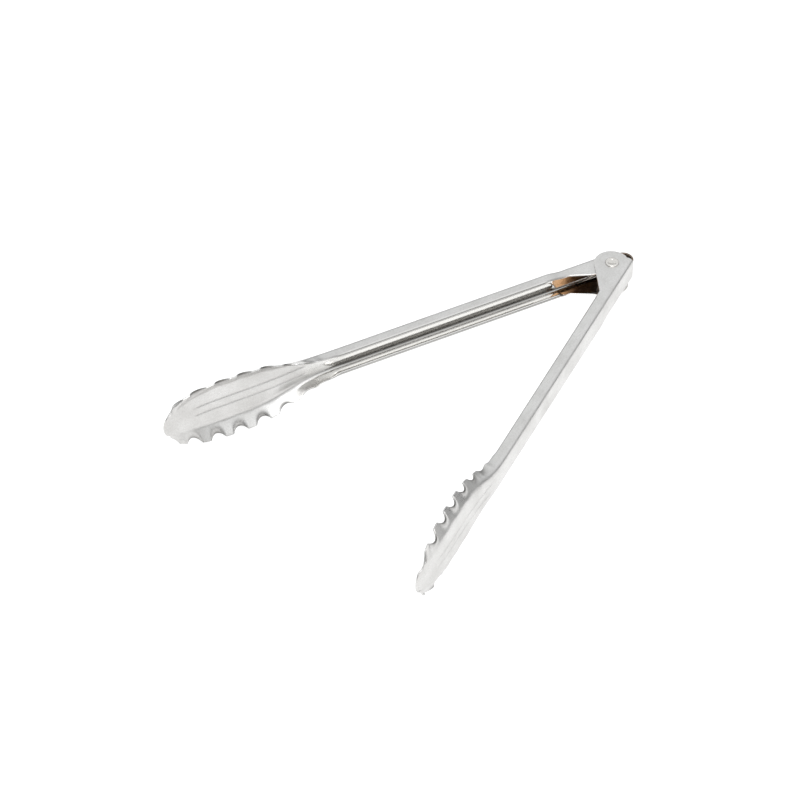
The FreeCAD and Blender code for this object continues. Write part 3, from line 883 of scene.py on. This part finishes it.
def leaf_mesh():
    lie = -(WEB_V + SHEET) - LEAF_GAP
    xc = LEAF_BEND_X
    ro = lie - S * xc
    rm = ro - LEAF_T / 2.0
    path = []                              # centre line (x, y), tangent later
    n_leg = 46

    def arm_pt(u, v, sgn):
        return np.array([-C * u - S * v, sgn * (S * u - C * v)])

    vm = -lie + LEAF_T / 2.0
    ut = -C * xc
    for k in range(n_leg + 1):
        f = k / float(n_leg)
        path.append(arm_pt(LEAF_LEG_U + (ut - LEAF_LEG_U) * f, vm, -1))
    a0 = math.atan2(path[-1][1], path[-1][0] - xc)
    a1 = -a0
    n_arc = 40
    for k in range(1, n_arc):
        a = a0 + (a1 - a0) * k / n_arc
        path.append(np.array([xc + rm * math.cos(a), rm * math.sin(a)]))
    for k in range(n_leg + 1):
        f = k / float(n_leg)
        path.append(arm_pt(ut + (LEAF_LEG_U - ut) * f, vm, 1))
    path = np.array(path)
    t = np.gradient(path, axis=0)
    t /= np.linalg.norm(t, axis=1, keepdims=True)
    nrm = np.stack([t[:, 1], -t[:, 0]], 1)        # outwards
    hh, ht, r = LEAF_HALF_H, LEAF_T / 2.0, 0.35
    prof = []
    for (cy, cz, s) in ((ht - r, hh - r, 0), (-(ht - r), hh - r, 1), (-(ht - r), -(hh - r), 2), (ht - r, -(hh - r), 3)):
        for k in range(5):
            a = math.pi / 2 * s + math.pi / 2 * k / 4.0
            prof.append((cy + r * math.cos(a), cz + r * math.sin(a)))
        if s in (1, 3):
            for k in range(1, 8):
                prof.append((cy - 0.0 + (r if s == 3 else -r), cz + (1 if s == 3 else -1) * (2 * (hh - r)) * k / 8.0))
    prof = np.array(prof)
    n, m = len(path), len(prof)
    pts = np.empty((n, m, 3))
    for i in range(n):
        # the ends of the legs are rounded off
        s = min(i, n - 1 - i) * (LEAF_LEG_U / n_leg)
        squeeze = 1.0
        if s < 1.2:
            squeeze = 0.72 + 0.28 * math.sqrt(max(0.0, 1 - (1 - s / 1.2) ** 2))
        for j in range(m):
            pts[i, j, :2] = path[i] + nrm[i] * prof[j, 0]
            pts[i, j, 2] = Z_MID + prof[j, 1] * squeeze
    faces = []
    for i in range(n - 1):
        for j in range(m):
            j2 = (j + 1) % m
            faces.append((i * m + j, (i + 1) * m + j, (i + 1) * m + j2, i * m + j2))
    faces.append(tuple(range(m))[::-1])
    faces.append(tuple((n - 1) * m + j for j in range(m)))
    return pts.reshape(-1, 3) / 1000.0, faces


lp, lf = leaf_mesh()
leaf = make_object("leaf_spring_strip", lp, lf, sharp=40)
leaf.data.materials.append(MAT_LEAF)
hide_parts("leaf_spring")
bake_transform(leaf)

# ---------------------------------------------------------------------------
# floor, light and camera
# ---------------------------------------------------------------------------
floor_z = -0.01365
pts = [(-6.0, -6.0, floor_z), (6.0, -6.0, floor_z), (6.0, 6.0, floor_z), (-6.0, 6.0, floor_z)]
floor = make_object("floor", pts, [(0, 1, 2, 3)], smooth=False)
fm = Nodes("floor_paper")
fm.bsdf.inputs["Base Color"].default_value = (0.93, 0.93, 0.93, 1)
fm.bsdf.inputs["Roughness"].default_value = 1.0
fm.bsdf.inputs["Emission Color"].default_value = (1.0, 1.0, 1.0, 1)
fm.bsdf.inputs["Emission Strength"].default_value = 0.66
fm.bsdf.inputs["Specular IOR Level"].default_value = 0.0
fn = fm.noise(fm.add("ShaderNodeTexCoord").outputs["Object"], 3.0, 3.0, 0.5)
fm.link(fm.ramp(fn, [(0.0, 0.485), (1.0, 0.50)]), fm.bsdf.inputs["Base Color"])
floor.data.materials.append(fm.mat)

world = bpy.data.worlds.new("studio")
bpy.context.scene.world = world
world.use_nodes = True
wt = world.node_tree
wt.nodes.clear()
wo = wt.nodes.new("ShaderNodeOutputWorld")
bg = wt.nodes.new("ShaderNodeBackground")
wt.links.new(bg.outputs[0], wo.inputs[0])
tc = wt.nodes.new("ShaderNodeTexCoord")
sep = wt.nodes.new("ShaderNodeSeparateXYZ")
wt.links.new(tc.outputs["Generated"], sep.inputs[0])
rp = wt.nodes.new("ShaderNodeValToRGB")
els = rp.color_ramp.elements
stops = [(0.0, 0.06), (0.12, 0.08), (0.25, 0.60), (0.42, 1.02), (1.0, 1.1)]
while len(els) < len(stops):
    els.new(0.5)
for el, (p, c) in zip(els, stops):
    el.position = p
    el.color = (c * 0.985, c, c * 1.01, 1)
wt.links.new(sep.outputs[2], rp.inputs[0])
wt.links.new(rp.outputs[0], bg.inputs[0])
# the soft light is strongest in front of the open side of the arms
gap = wt.nodes.new("ShaderNodeVectorMath")
gap.operation = "DOT_PRODUCT"
wt.links.new(tc.outputs["Generated"], gap.inputs[0])
gap.inputs[1].default_value = (0.185, -0.73, 0.66)
gr = wt.nodes.new("ShaderNodeMapRange")
gr.interpolation_type = "SMOOTHSTEP"
gr.inputs["From Min"].default_value = 0.72
gr.inputs["From Max"].default_value = 0.95
gr.inputs["To Min"].default_value = 1.0
gr.inputs["To Max"].default_value = 1.3
wt.links.new(gap.outputs["Value"], gr.inputs["Value"])
wt.links.new(gr.outputs[0], bg.inputs[1])


def area(name, loc, target, size, power, col=(1, 1, 1)):
    li = bpy.data.lights.new(name, "AREA")
    li.shape = "RECTANGLE"
    li.size, li.size_y = size
    li.energy = power
    li.color = col
    ob = bpy.data.objects.new(name, li)
    bpy.context.scene.collection.objects.link(ob)
    d = Vector(target) - Vector(loc)
    ob.matrix_world = Matrix.Translation(loc) @ d.to_track_quat("-Z", "Y").to_matrix().to_4x4()
    return ob


area("key_soft", (-0.9, -0.9, 2.2), (-0.15, 0, 0), (1.6, 1.6), 22.0)

cam_d = bpy.data.cameras.new("camera")
cam = bpy.data.objects.new("camera", cam_d)
bpy.context.scene.collection.objects.link(cam)
bpy.context.scene.camera = cam
AZ, EL, ROLL = math.radians(-51.01), math.radians(41.58), math.radians(3.5)
DIST, FPX = 11.499, 20116.6
TARGET = Vector((-0.1593, 0.0214, 0.0))
back = Vector((math.sin(AZ) * math.cos(EL), -math.cos(AZ) * math.cos(EL), math.sin(EL)))
right = Vector((math.cos(AZ), math.sin(AZ), 0.0))
up = back.cross(right)
rot = Matrix((right, up, back)).transposed()
rot = rot @ Matrix.Rotation(ROLL, 3, "Z")
cam.matrix_world = Matrix.Translation(TARGET + back * DIST) @ rot.to_4x4()
cam_d.sensor_fit = "HORIZONTAL"
cam_d.sensor_width = 36.0
cam_d.lens = FPX * 36.0 / 800.0
cam_d.clip_start = 0.05
cam_d.clip_end = 50.0
cam_d.dof.use_dof = False

sc = bpy.context.scene
sc.view_settings.view_transform = "Standard"
sc.view_settings.look = "None"
sc.view_settings.exposure = 0.0
sc.view_settings.gamma = 1.0
